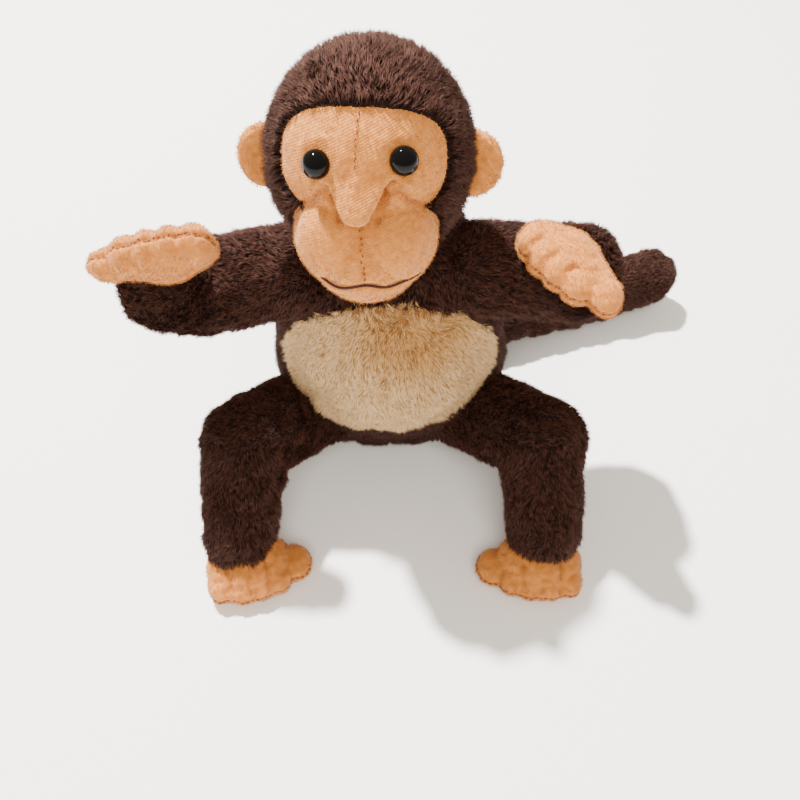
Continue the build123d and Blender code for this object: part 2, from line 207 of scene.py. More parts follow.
def make_materials():
    mats = {}
    # Both backings are coloured darker than the pile that grows on them: painted shade down among the
    # strands.
    backing_ribs = (900, 0.5, 1500, 0.0003)
    mats["backing"] = fabric("shaded_plush_backing", 0.95, 0.0, (0.02, 0.011, 0.009), (0.012, 0.006, 0.005),
                             (0.03, 0.016, 0.012), 700, ribs=backing_ribs)[0]
    mats["shaded_belly_backing"] = fabric("shaded_belly_backing", 0.95, 0.0, (0.5, 0.33, 0.18), (0.30, 0.14, 0.05),
                                   (0.44, 0.24, 0.09), 400, ribs=backing_ribs)[0]
    mats["knit"], knit = fabric("napped_knit", 0.88, 0.35, (0.74, 0.40, 0.19), (0.47, 0.165, 0.028),
                                (0.58, 0.225, 0.045), 900, 6.0, ribs=(620, 0.55, 2600, 0.00035))
    mats["velour"], velour = fabric("velour", 0.9, 0.4, (0.76, 0.42, 0.19), (0.46, 0.16, 0.026),
                                    (0.57, 0.215, 0.042), 700, 6.0, ribs=(800, 0.25, 2400, 0.0004))
    for bsdf in (knit, velour):
        bsdf.inputs["Sheen Tint"].default_value = (1.0, 0.8, 0.6, 1)
    mats["fibre"] = fabric("fibre", 1.0, 0.2, (0.8, 0.8, 0.78), (0.6, 0.6, 0.58),
                           (0.86, 0.86, 0.84), 500)[0]
    mats["eye"] = material("eye_gloss", 0.05, 0.0, (0.002, 0.002, 0.002), gloss=0.14)[0]
    mats["washer"] = material("washer", 0.5, 0.0, (0.75, 0.75, 0.73))[0]
    mats["thread_dark"] = material("thread_dark", 0.8, 0.0, (0.045, 0.014, 0.013))[0]
    mats["thread_tan"] = material("thread_tan", 0.85, 0.0, (0.24, 0.05, 0.02))[0]
    # Strand colours in pairs, lower half then tip; the pairs differ from each other at random. Each
    # lower half is darker than its tip: painted shade among the strands, with painted light on the tips.
    brown = [(0.013, 0.004, 0.0025), (0.040, 0.0135, 0.008), (0.019, 0.006, 0.0035),
             (0.056, 0.020, 0.012), (0.028, 0.009, 0.0055), (0.088, 0.035, 0.023)]
    mats["pile"] = shades("pile", 0.8, brown)
    beige = [(0.38, 0.17, 0.045), (0.56, 0.29, 0.09), (0.50, 0.27, 0.10),
             (0.72, 0.46, 0.21), (0.58, 0.35, 0.14), (0.84, 0.60, 0.33)]
    mats["belly_pile"] = shades("belly_pile", 0.85, beige)
    tan = [(0.47, 0.165, 0.03), (0.58, 0.23, 0.05), (0.50, 0.18, 0.035),
           (0.62, 0.26, 0.07), (0.53, 0.20, 0.04), (0.66, 0.30, 0.09)]
    mats["fuzz"] = shades("fuzz", 0.9, tan)
    return mats


MATS = make_materials()


# ---------------------------------------------------------------- meshes

def write_mesh(name, verts, faces, mats, slots=None, normals=None):
    """An object from arrays in millimetres. faces is a list of arrays, each with one row of
    vertex numbers per face."""
    me = bpy.data.meshes.new(name)
    me.vertices.add(len(verts))
    me.vertices.foreach_set("co", (np.asarray(verts, dtype=np.float32) * MM).ravel())
    sizes = [f.shape[1] for f in faces]
    counts = [len(f) for f in faces]
    loops = np.concatenate([f.ravel() for f in faces]).astype(np.int32)
    starts = np.concatenate([[0], np.cumsum(np.repeat(sizes, counts))])[:-1].astype(np.int32)
    me.loops.add(len(loops))
    me.loops.foreach_set("vertex_index", loops)
    me.polygons.add(len(starts))
    me.polygons.foreach_set("loop_start", starts)
    for mat in mats:
        me.materials.append(mat)
    if slots is not None:
        me.polygons.foreach_set("material_index", slots.astype(np.int32))
    me.update(calc_edges=True)
    me.validate()
    me.polygons.foreach_set("use_smooth", np.ones(len(me.polygons), dtype=bool))
    if normals is not None:
        me.normals_split_custom_set_from_vertices(normals.tolist())
    obj = bpy.data.objects.new(name, me)
    bpy.context.scene.collection.objects.link(obj)
    return obj


class Skin:
    """A closed surface as arrays: vertices v, quads f and vertex normals n."""

    def __init__(self, verts, quads):
        self.v = verts
        self.f = quads
        self.refresh()

    def refresh(self):
        a, b, c, d = (self.v[self.f[:, i]] for i in range(4))
        n = np.cross(c - a, d - b)
        total = np.zeros_like(self.v)
        for i in range(4):
            np.add.at(total, self.f[:, i], n)
        self.n = total / np.maximum(np.linalg.norm(total, axis=1, keepdims=True), 1e-9)

    def centres(self):
        return self.v[self.f].mean(axis=1)

    def push(self, amount):
        """Move every vertex along its normal."""
        self.v = self.v + self.n * np.asarray(amount)[:, None]
        self.refresh()

    def keep_above(self, floor):
        """Flatten what hangs below a height."""
        self.v[:, 2] = np.maximum(self.v[:, 2], floor)
        self.refresh()

    def whole(self):
        return np.ones(len(self.f), dtype=bool)

    def tree(self):
        return BVHTree.FromPolygons(self.v.tolist(), self.f.tolist())


def ball_piece(bm, centre, radii, turn=None):
    if not isinstance(radii, tuple):
        radii = (radii, radii, radii)
    place = Matrix.Translation(Vector(centre))
    if turn is not None:
        place = place @ turn.to_4x4()
    place = place @ Matrix.Diagonal((*radii, 1.0))
    bmesh.ops.create_uvsphere(bm, u_segments=40, v_segments=24, radius=1.0, matrix=place)


def tube_piece(bm, a, b, radius_a, radius_b):
    a, b = Vector(a), Vector(b)
    along = b - a
    turn = along.to_track_quat("Z", "Y").to_matrix().to_4x4()
    place = Matrix.Translation((a + b) / 2) @ turn
    bmesh.ops.create_cone(bm, cap_ends=True, segments=40, radius1=radius_a, radius2=radius_b,
                          depth=along.length, matrix=place)


def stack_piece(bm, levels, segments=56):
    """Ovals on top of each other, closed at both ends."""
    rings = []
    for z, a, b in levels:
        ring = []
        for i in range(segments):
            t = 2 * math.pi * i / segments
            ring.append(bm.verts.new((a * math.cos(t), b * math.sin(t), z)))
        rings.append(ring)
    for low, high in zip(rings, rings[1:]):
        for i in range(segments):
            j = (i + 1) % segments
            bm.faces.new((low[i], low[j], high[j], high[i]))
    bm.faces.new(list(reversed(rings[0])))
    bm.faces.new(rings[-1])


def melt(build, voxel, rounds):
    """Fuse the pieces that build adds into one skin of even quads and soften it."""
    bm = bmesh.new()
    build(bm)
    me = bpy.data.meshes.new("melt")
    bm.to_mesh(me)
    bm.free()
    obj = bpy.data.objects.new("melt", me)
    bpy.context.scene.collection.objects.link(obj)
    remesh = obj.modifiers.new("remesh", "REMESH")
    remesh.mode = "VOXEL"
    remesh.voxel_size = voxel
    smooth = obj.modifiers.new("smooth", "SMOOTH")
    smooth.factor = 0.5
    smooth.iterations = rounds
    done = bpy.data.meshes.new_from_object(obj.evaluated_get(bpy.context.evaluated_depsgraph_get()))
    verts = np.empty(len(done.vertices) * 3, dtype=np.float32)
    done.vertices.foreach_get("co", verts)
    loops = np.empty(len(done.loops), dtype=np.int32)
    done.loops.foreach_get("vertex_index", loops)
    bpy.data.objects.remove(obj)
    bpy.data.meshes.remove(done)
    return Skin(verts.reshape(-1, 3).astype(float), loops.reshape(-1, 4))


def wobble(points, wave, seed):
    """A smooth pseudo-random vector for each point. wave is its typical length."""
    rng = np.random.default_rng(seed)
    out = np.zeros((len(points), 3))
    for octave in range(5):
        k = rng.normal(size=(3, 3)) * 2 * math.pi / wave * (0.6 + 0.35 * octave)
        phase = rng.uniform(0, 2 * math.pi, size=3)
        out += np.sin(points @ k.T + phase)
    return out / 5 ** 0.5


def distance_to(points, line):
    """Distance from each point to a polyline, and the place along it from 0 to 1."""
    best = np.full(len(points), 1e9)
    place = np.zeros(len(points))
    line = np.asarray(line, dtype=float)
    total = len(line) - 1
    for i, (a, b) in enumerate(zip(line, line[1:])):
        ab = b - a
        t = np.clip((points - a) @ ab / (ab @ ab), 0, 1)
        d = np.linalg.norm(points - (a + t[:, None] * ab), axis=1)
        near = d < best
        best[near] = d[near]
        place[near] = (i + t[near]) / total
    return best, place


def groove(skin, line, width, depth):
    """Press a line into a skin, shallower towards its ends."""
    d, place = distance_to(skin.v, line)
    fade = np.clip(np.minimum(place, 1 - place) * 12, 0.25, 1)
    skin.push(-depth * fade * np.exp(-(d / width) ** 2))


def smooth_line(points, count):
    """A smooth curve through a few points, as count points."""
    p = [Vector(q) for q in points]
    p = [p[0] * 2 - p[1]] + p + [p[-1] * 2 - p[-2]]
    out = []
    spans = len(p) - 3
    for i in range(count):
        s = i / (count - 1) * spans
        k = min(int(s), spans - 1)
        t = s - k
        a, b, c, d = p[k:k + 4]
        out.append(0.5 * ((2 * b) + (c - a) * t + (2 * a - 5 * b + 4 * c - d) * t * t
                          + (3 * b - a - 3 * c + d) * t ** 3))
    return [tuple(q) for q in out]


def laid_on(tree, points, lift):
    """The points moved to the nearest place on a surface and lifted off it, with its normals."""
    out = []
    for p in points:
        at, normal, _, _ = tree.find_nearest(Vector(p))
        out.append((at + normal * lift, normal))
    return out


def thread_mesh(points, radius, sides=6):
    """A round thread along points, as vertices and quads."""
    line = [Vector(p) for p in points]
    verts, quads = [], []
    for i, p in enumerate(line):
        along = (line[min(i + 1, len(line) - 1)] - line[max(i - 1, 0)]).normalized()
        side = along.orthogonal().normalized()
        other = along.cross(side)
        r = radius * (0.35 if i in (0, len(line) - 1) else 1.0)
        for k in range(sides):
            t = 2 * math.pi * k / sides
            verts.append(p + side * (r * math.cos(t)) + other * (r * math.sin(t)))
    for i in range(len(line) - 1):
        for k in range(sides):
            j = (k + 1) % sides
            quads.append((i * sides + k, i * sides + j, (i + 1) * sides + j, (i + 1) * sides + k))
    return np.array([tuple(v) for v in verts]), np.array(quads)


def stitches(name, tree, points, mat, body, length=0.9, gap=0.55, radius=0.16):
    """A row of short thread dashes laid along a line on a skin."""
    rises = (-0.1, 0.28, 0.28, -0.1)
    dense = [Vector(p) for p in smooth_line(points, 200)]
    walked = [0.0]
    for a, b in zip(dense, dense[1:]):
        walked.append(walked[-1] + (b - a).length)
    verts, quads, at = [], [], 0.0
    count = 0
    while at + length < walked[-1]:
        marks = []
        for part in (0.0, 0.33, 0.67, 1.0):
            s = at + part * length
            k = max(i for i, w in enumerate(walked) if w <= s)
            marks.append(dense[k])
        laid = laid_on(tree, marks, 0.0)
        path = [p + n * rise for (p, n), rise in zip(laid, rises)]
        v, q = thread_mesh(path, radius)
        quads.append(q + count)
        verts.append(v)
        count += len(v)
        at += length + gap
    obj = write_mesh(name, np.concatenate(verts), [np.concatenate(quads)], [mat])
    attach(obj, body)


# ---------------------------------------------------------------- pile

def still(seed):
    """The lie of a short nap that isn't brushed any one way."""
    return lambda points: 0.4 * wobble(points, 9.0, seed)


def grow_pile(name, skin, faces, flow, mats, body, slot, seed, per_mm2, length, radius,
              lean=1.0, ruffle=0.35, tuft=1.0, shade=None):
    """Strands of pile on the given faces of a skin, as meshes with plain materials.

    flow gives the way the pile is brushed at each point. Neighbouring strands lean together
    in tufts. Each strand has three sides, a bend in the middle and a fine tip."""
    rng = np.random.default_rng(seed)
    quads = skin.f[faces]
    a, b, c, d = (skin.v[quads[:, i]] for i in range(4))
    area = 0.5 * np.linalg.norm(np.cross(c - a, d - b), axis=1)
    count = int(area.sum() * per_mm2 * DENSITY)
    pick = rng.choice(len(quads), size=count, p=area / area.sum())
    s, t = rng.uniform(size=(2, count, 1))
    corners = quads[pick]
    weights = [(1 - s) * (1 - t), s * (1 - t), s * t, (1 - s) * t]
    root = sum(w * skin.v[corners[:, i]] for i, w in enumerate(weights))
    normal = sum(w * skin.n[corners[:, i]] for i, w in enumerate(weights))
    normal /= np.linalg.norm(normal, axis=1, keepdims=True)
    brush = flow(root)
    brush = brush + ruffle * 1.1 * wobble(root, 16.0, seed + 1) + ruffle * wobble(root, 5.0, seed + 2)
    brush -= normal * np.sum(brush * normal, axis=1, keepdims=True)
    brush /= np.maximum(np.linalg.norm(brush, axis=1, keepdims=True), 0.35)
    cell = np.floor(root / 1.7 + 0.6 * wobble(root, 6.0, seed + 3)).astype(np.int64)
    key = (cell[:, 0] * 73856093) ^ (cell[:, 1] * 19349663) ^ (cell[:, 2] * 83492791)
    tilt = np.stack([((key >> k) & 1023) / 511.5 - 1 for k in (0, 9, 18)], axis=1)
    stray = rng.normal(size=(count, 3))
    first = normal + 0.55 * lean * brush + 0.24 * tuft * tilt + 0.1 * stray
    first /= np.linalg.norm(first, axis=1, keepdims=True)
    second = 0.55 * normal + 1.0 * lean * brush + 0.38 * tuft * tilt + 0.16 * stray
    second /= np.linalg.norm(second, axis=1, keepdims=True)
    long = length * (0.75 + 0.35 * rng.uniform(size=(count, 1)))
    middle = root + first * long * 0.5
    tip = middle + second * long * 0.5
    root = root - normal * 0.25
    low = middle[:, 2] < 0.3
    middle[low, 2] = 0.3
    tip[:, 2] = np.maximum(tip[:, 2], 0.2)
    side = np.cross(first, stray)
    side /= np.maximum(np.linalg.norm(side, axis=1, keepdims=True), 1e-6)
    other = np.cross(first, side)
    verts = np.empty((count, 7, 3))
    for k in range(3):
        angle = 2 * math.pi * k / 3
        out = side * math.cos(angle) + other * math.sin(angle)
        verts[:, k] = root + out * radius
        verts[:, 3 + k] = middle + out * radius * 0.8
    verts[:, 6] = tip
    tone = rng.integers(0, 3, size=count) if shade is None else shade(root, rng)
    for part, start in enumerate(range(0, count, STRANDS_PER_PIECE)):
        some = slice(start, start + STRANDS_PER_PIECE)
        write_strands(f"{name}_{part}", verts[some], tone[some], mats, body)


def write_strands(name, verts, tone, mats, body):
    """A mesh of strands of seven points: three at the root, three in the middle, one tip."""
    base = (np.arange(len(verts)) * 7)[:, None]
    walls = np.concatenate([base + np.array([k, (k + 1) % 3, 3 + (k + 1) % 3, 3 + k]) for k in range(3)])
    tips = np.concatenate([base + np.array([3 + k, 3 + (k + 1) % 3, 6]) for k in range(3)])
    # Walls take the darker colour of the pair, painted shade at the roots; tips take the lighter one,
    # painted light.
    slots = np.concatenate([np.tile(2 * tone, 3), np.tile(2 * tone + 1, 3)])
    obj = write_mesh(name, verts.reshape(-1, 3), [walls, tips], mats, slots)
    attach(obj, body)


def stuffing(name, skin, body, node, inset=1.7):
    """The fibre fill just inside a skin."""
    inner = Skin(skin.v.copy(), skin.f)
    inner.push(-inset + 0.25 * wobble(inner.v, 7.0, 31)[:, 0])
    obj = write_mesh(name, inner.v, [inner.f], [MATS["fibre"]])
    cut = obj.modifiers.new("coarse", "DECIMATE")
    cut.ratio = 0.25
    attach(obj, body)
    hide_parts(node)


def show_part(name, skin, mask, mat, body, node, slot, pad):
    """The faces of a skin that belong to one sewn piece, with the whole skin's normals."""
    quads = skin.f[mask]
    used, index = np.unique(quads, return_inverse=True)
    obj = write_mesh(name, skin.v[used], [index.reshape(-1, 4)], [mat], None, skin.n[used])
    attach(obj, body)
    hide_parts(node)


# ---------------------------------------------------------------- torso

def torso():
    skin = melt(lambda bm: stack_piece(bm, TORSO_LEVELS), voxel=0.8, rounds=10)
    heights, shares = zip(*FRONT_LEVELS)
    front = skin.v[:, 1] < 0
    skin.v[front, 1] *= np.interp(skin.v[front, 2], heights, shares)
    skin.refresh()
    lumps = 0.45 * wobble(skin.v, 22.0, 4)[:, 0] + 0.15 * wobble(skin.v, 8.0, 5)[:, 0]
    skin.push(lumps)
    back_seam = [(0, 30, 5), (0, 30, 40), (0, 26, 62), (0, 12, 80)]
    groove(skin, back_seam, width=1.6, depth=0.8)
    skin.keep_above(LOWEST_PLUSH)
    at = skin.centres()
    rise = at[:, 2] - BELLY_MIDDLE
    reach = np.where(rise > 0, BELLY_UP, BELLY_DOWN)
    round_belly = np.abs(at[:, 0] / BELLY_HALF_WIDTH) ** 1.75 + np.abs(rise / reach) ** 1.75
    belly = (round_belly < 1) & (at[:, 1] < 0)
    halves = {"left": ~belly & (at[:, 0] < 0), "right": ~belly & (at[:, 0] >= 0)}
    for side, half in halves.items():
        show_part(f"torso_{side}_skin", skin, half, MATS["backing"], "torso", f"torso_{side}",
                  "dark_plush", PLUSH_FILL)
    show_part("belly_skin", skin, belly, MATS["shaded_belly_backing"], "torso", "belly_patch",
              "belly_plush", PLUSH_FILL)
    stuffing("torso_fill", skin, "torso", "torso_stuffing")

    def down(p):
        flow = np.zeros_like(p)
        flow[:, 2] = -1.0
        flow[:, 0] = 0.25 * p[:, 0] / 30
        return flow

    def belly_flow(p):
        flow = np.zeros_like(p)
        flow[:, 2] = -0.8 + 0.5 * (p[:, 2] > 58)
        flow[:, 0] = 0.9 * p[:, 0] / 27
        return flow

    def belly_shade(p, rng):
        golden = np.exp(-((p[:, 0] - 6) / 15) ** 2 - ((p[:, 2] - 58) / 11) ** 2)
        tone = rng.uniform(size=len(p)) * 1.6 + 0.9 - 1.7 * golden
        return np.clip(np.round(tone), 0, 2).astype(int)

    off_the_floor = at[:, 2] > 1.2
    for seed, (side, half) in enumerate(halves.items(), 11):
        grow_pile(f"torso_{side}_pile", skin, half & off_the_floor, down, MATS["pile"], "torso",
                  "dark_plush", seed, **TORSO_PILE)
    grow_pile("belly_pile", skin, belly, belly_flow, MATS["belly_pile"], "torso", "belly_plush",
              13, **BELLY_PILE, shade=belly_shade)


# ---------------------------------------------------------------- limbs

def limb_builder(balls):
    """What melt calls to add a limb's balls and the cones between them."""
    def build(bm):
        for centre, radius in balls:
            ball_piece(bm, centre, radius)
        for (a, ra), (b, rb) in zip(balls, balls[1:]):
            tube_piece(bm, a, b, ra, rb)
    return build


def limb_flow(balls):
    """Pile brushed along the limb, from its root to its end."""
    def flow(p):
        best = np.full(len(p), 1e9)
        way = np.zeros_like(p)
        for (a, _), (b, _) in zip(balls, balls[1:]):
            a, b = np.array(a), np.array(b)
            ab = b - a
            t = np.clip((p - a) @ ab / (ab @ ab), 0, 1)
            d = np.linalg.norm(p - (a + t[:, None] * ab), axis=1)
            near = d < best
            best[near] = d[near]
            way[near] = ab / np.linalg.norm(ab)
        return way
    return flow


def sleeve(name, seed):
    """A plush limb or the tail: skin, fill and pile."""
    balls = LIMBS[name]
    skin = melt(limb_builder(balls), voxel=0.6, rounds=14)
    lumps = 0.4 * wobble(skin.v, 16.0, seed)[:, 0] + 0.12 * wobble(skin.v, 6.0, seed + 1)[:, 0]
    skin.push(lumps)
    skin.keep_above(LOWEST_PLUSH)
    kind, line, side = name.partition("_")
    show_part(f"{name}_skin", skin, skin.whole(), MATS["backing"], name, f"{kind}_sleeve{line}{side}",
              "dark_plush", PLUSH_FILL)
    stuffing(f"{name}_fill", skin, name, f"{kind}_stuffing{line}{side}")
    grow_pile(f"{name}_pile", skin, skin.whole(), limb_flow(balls), MATS["pile"], name, "dark_plush",
              seed + 2, **LIMB_PILE)


# ---------------------------------------------------------------- hands and feet

def hand(side):
    """A mitt with four fingers, a thumb and a seam round its rim.

    It is built with x across the palm, y along the fingers and z out of the palm or its back."""
    centre, fingers, across = HANDS[side]
    x = Vector(across).normalized()
    y = Vector(fingers)
    y = (y - x * y.dot(x)).normalized()
    z = x.cross(y)
    place = Matrix.Translation(Vector(centre)) @ Matrix((x, y, z)).transposed().to_4x4()

    def build(bm):
        ball_piece(bm, (-0.6, -0.6, 0), (13.4, 6.6, 4.9))
        ball_piece(bm, (-1.0, -3.2, 0), (8.0, 4.6, 5.2))
        for i in range(4):
            u = (i - 1.8) * 5.0
            reach = 2.4 - 0.4 * abs(i - 1.5) ** 2
            ball_piece(bm, (u, reach, 0), (4.3, 5.0, 4.3))
        thumb = Matrix.Rotation(math.radians(-62), 3, "Z")
        ball_piece(bm, (11.2, -0.6, 0), (3.9, 5.4, 4.0), thumb)

    skin = melt(build, voxel=0.42, rounds=22)
    seen = -1 if side == "right" else 1
    for i in range(3):
        u = (i - 1.4) * 5.2
        between = [(u, 1.0, 4.4 * seen), (u * 1.03, 4.5, 3.9 * seen), (u * 1.06, 8.0, 2.2 * seen)]
        groove(skin, between, width=0.8, depth=0.9)
    rim = np.abs(skin.n[:, 2]) < 0.75
    front = skin.v[:, 1] > -5.5
    pucker = 0.16 * np.sin(skin.v[:, 0] * 2.9) * np.exp(-(skin.v[:, 2] / 1.6) ** 2)
    seam = -0.75 * np.exp(-(skin.v[:, 2] / 0.6) ** 2) * rim * front + pucker * rim * front
    skin.push(seam + 0.15 * wobble(skin.v, 5.0, 61)[:, 0])
    finish_mitt(skin, place, side, "hand", rim_points(skin, WRIST), f"arm_{side}",
                (f"hand_palm_{side}", f"hand_back_{side}"))


def rim_points(skin, low):
    """Points round the rim of a mitt at z = 0, from one side of the wrist to the other."""
    band = (np.abs(skin.v[:, 2]) < 0.5) & (skin.v[:, 1] > low)
    p = skin.v[band]
    angle = np.arctan2(p[:, 0], p[:, 1] - low)
    out = []
    for t in np.linspace(-1.45, 1.45, 46):
        near = np.abs(angle - t) < 0.05
        if near.any():
            far = p[near]
            out.append(tuple(far[np.argmax(np.linalg.norm(far - (0, low, 0), axis=1))]))
    return out


def finish_mitt(skin, place, side, kind, rim, body, nodes):
    """Move a hand or foot to its place, split it at its seam, and add thread, fill and nap."""
    upper = skin.centres()[:, 2] > 0
    m = np.array(place)
    skin.v = skin.v @ m[:3, :3].T + m[:3, 3]
    skin.keep_above(LOWEST_TAN)
    first = upper if (kind == "foot" or side == "right") else ~upper
    for word, mask, node in zip(("front", "rear"), (first, ~first), nodes):
        show_part(f"{kind}_{word}_{side}", skin, mask, MATS["velour"], body, node, "tan_velour",
                  MITT_FILL)
    stuffing(f"{kind}_fill_{side}", skin, body, f"{kind}_stuffing_{side}", inset=1.2)
    world_rim = [tuple(place @ Vector(p)) for p in rim]
    stitches(f"{kind}_seam_{side}", skin.tree(), world_rim, MATS["thread_tan"], body,
             length=0.9, gap=0.5, radius=0.19)
    grow_pile(f"{kind}_fuzz_{side}", skin, skin.whole(), still(77), MATS["fuzz"], body, "tan_velour",
              90, **VELOUR_NAP)


def foot(side):
    """A foot with four toes, a big toe on its inner side, dimples and a seam near the sole."""
    centre, angle = FEET[side]
    inner = 1 if side == "left" else -1
    place = Matrix.Translation(Vector(centre)) @ Matrix.Rotation(math.radians(angle), 4, "Z")

    def build(bm):
        ball_piece(bm, (-1.0 * inner, 0.6, 0.2), (11.0, 9.0, 5.6))
        ball_piece(bm, (-1.0 * inner, -3.2, -1.2), (11.4, 6.6, 3.9))
        for i in range(4):
            u = (i - 1.5) * 5.0 - 1.2 * inner
            reach = -6.0 + 0.55 * abs(i - 1.5) ** 2
            ball_piece(bm, (u, reach, -1.2), (3.2, 4.0, 3.3))
        ball_piece(bm, (10.6 * inner, -0.6, -1.8), (4.8, 5.4, 3.0))

    skin = melt(build, voxel=0.42, rounds=10)
    for i in range(3):
        u = (i - 1.0) * 5.0 - 1.2 * inner
        groove(skin, [(u, -3.0, 4.2), (u, -6.0, 3.2), (u, -9.6, 0.0)], width=0.7, depth=0.8)
        d = np.linalg.norm(skin.v - (u, -3.4, 4.2), axis=1)
        skin.push(-0.7 * np.exp(-(d / 0.8) ** 2))
    level = -1.4
    rim = (np.abs(skin.n[:, 2]) < 0.8) & (skin.v[:, 1] < 5)
    seam = -0.6 * np.exp(-((skin.v[:, 2] - level) / 0.5) ** 2) * rim
    skin.push(seam + 0.15 * wobble(skin.v, 5.0, 62)[:, 0])
    turned = Skin((skin.v - (0, 0, level)) * (1, -1, 1), skin.f)
    rim_line = [(x, -y, z + level) for x, y, z in rim_points(turned, WRIST)]
    skin.v[:, 2] = np.maximum(skin.v[:, 2], LOWEST_TAN - centre[2])
    finish_mitt(skin, place, side, "foot", rim_line, f"leg_{side}",
                (f"foot_upper_{side}", f"foot_sole_{side}"))


# ---------------------------------------------------------------- head

def head_place():
    return Matrix.Translation(HEAD_CENTRE) @ HEAD_TURN.to_4x4()


def to_world(points):
    m = np.array(head_place())
    return np.asarray(points) @ m[:3, :3].T + m[:3, 3]


# Lines on the face, in the head's own turned frame, with its centre at 0.
FOREHEAD_SEAM = [(-0.4, -17.6, 15.0), (-0.8, -20.8, 10.0), (-1.1, -22.6, 3.4)]
MUZZLE_SEAM = [(0.1, -22.6, -8.2), (0.6, -24.6, -12.0), (1.0, -24.9, -16.0), (1.2, -24.4, -19.0)]
MOUTH = [(-8.4, -20.0, -20.2), (-4.6, -22.4, -21.6), (1.3, -24.2, -19.9), (6.4, -22.4, -20.8),
         (12.2, -16.2, -18.4)]
# Centre and radius of the balls that the nose's hull wraps.
NOSE_CORNERS = [
    ((-5.6, -20.3, 0.4), 1.1),
    ((5.0, -20.3, 1.6), 1.1),
    ((-0.6, -20.6, 3.0), 1.2),
    ((-1.6, -23.2, -5.2), 2.0),
    ((0.2, -23.2, -5.2), 2.0),
]
NOSTRIL_LEFT = [(-7.6, -20.4, -0.4), (-6.2, -21.2, -2.6), (-4.8, -21.8, -5.0), (-3.8, -22.8, -7.2)]
NOSTRIL_RIGHT = [(7.2, -20.4, 1.0), (5.8, -21.2, -1.0), (4.4, -21.6, -4.0), (3.0, -22.6, -7.0)]
CHEEK_LEFT = [(-7.2, -20.6, -0.6), (-9.6, -19.2, -3.6), (-13.2, -15.6, -6.4)]
CHEEK_RIGHT = [(6.8, -20.6, 0.2), (9.8, -19.2, -3.2), (13.6, -15.6, -6.0)]


def noseless_head(bm):
    ball_piece(bm, (0, 0, 0), SKULL_RADII)
    for centre, radii in MUZZLE_BALLS:
        ball_piece(bm, centre, radii)


def whole_head(bm):
    noseless_head(bm)
    nose_piece(bm)


def nose_piece(bm):
    """The folded flap of the nose: broad at the brow, a narrow blunt tip over the muzzle."""
    fold = bmesh.new()
    for at, radius in NOSE_CORNERS:
        ball_piece(fold, at, radius)
    hull = bmesh.ops.convex_hull(fold, input=fold.verts)
    bmesh.ops.delete(fold, geom=list(set(hull["geom_interior"] + hull["geom_unused"])), context="VERTS")
    spare = bpy.data.meshes.new("fold")
    fold.to_mesh(spare)
    fold.free()
    bm.from_mesh(spare)
    bpy.data.meshes.remove(spare)


